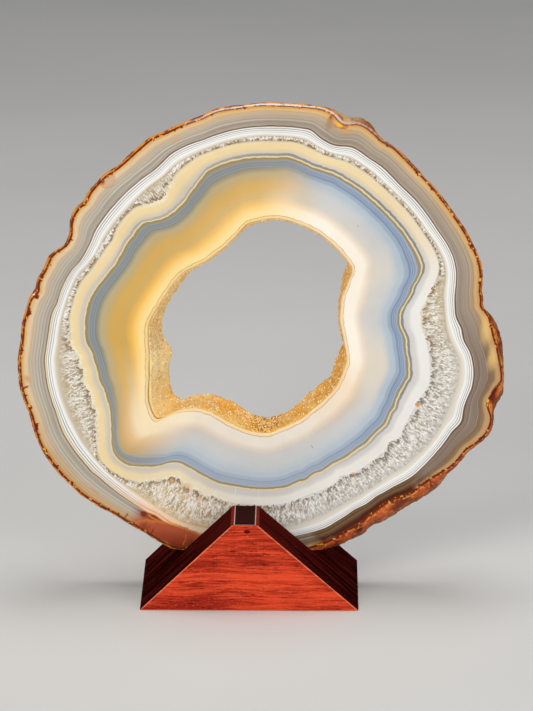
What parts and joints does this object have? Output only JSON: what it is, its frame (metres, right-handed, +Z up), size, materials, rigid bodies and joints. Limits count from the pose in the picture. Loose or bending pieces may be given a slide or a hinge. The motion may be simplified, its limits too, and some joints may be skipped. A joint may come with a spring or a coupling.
{
  "type": "agate slice",
  "caption": "Banded agate slice with a crystal-lined hollow right through it, standing upright in the slot of a wedge-shaped red wood block.",
  "frame": {"origin": "middle of the wooden block's underside, on the surface that it stands on", "axes": "+Z up; +Y from the polished face towards the back of the slice; +X to the right as the polished face is looked at"},
  "size_m": [0.1946, 0.06, 0.2026],
  "materials": {
    "agate": "polished",
    "druse": "crystalline",
    "red_wood": "satin"
  },
  "bodies": {
    "root": {"agate_slice": "agate", "druse_crust": "druse", "stand": "red_wood"}
  },
  "joints": []
}
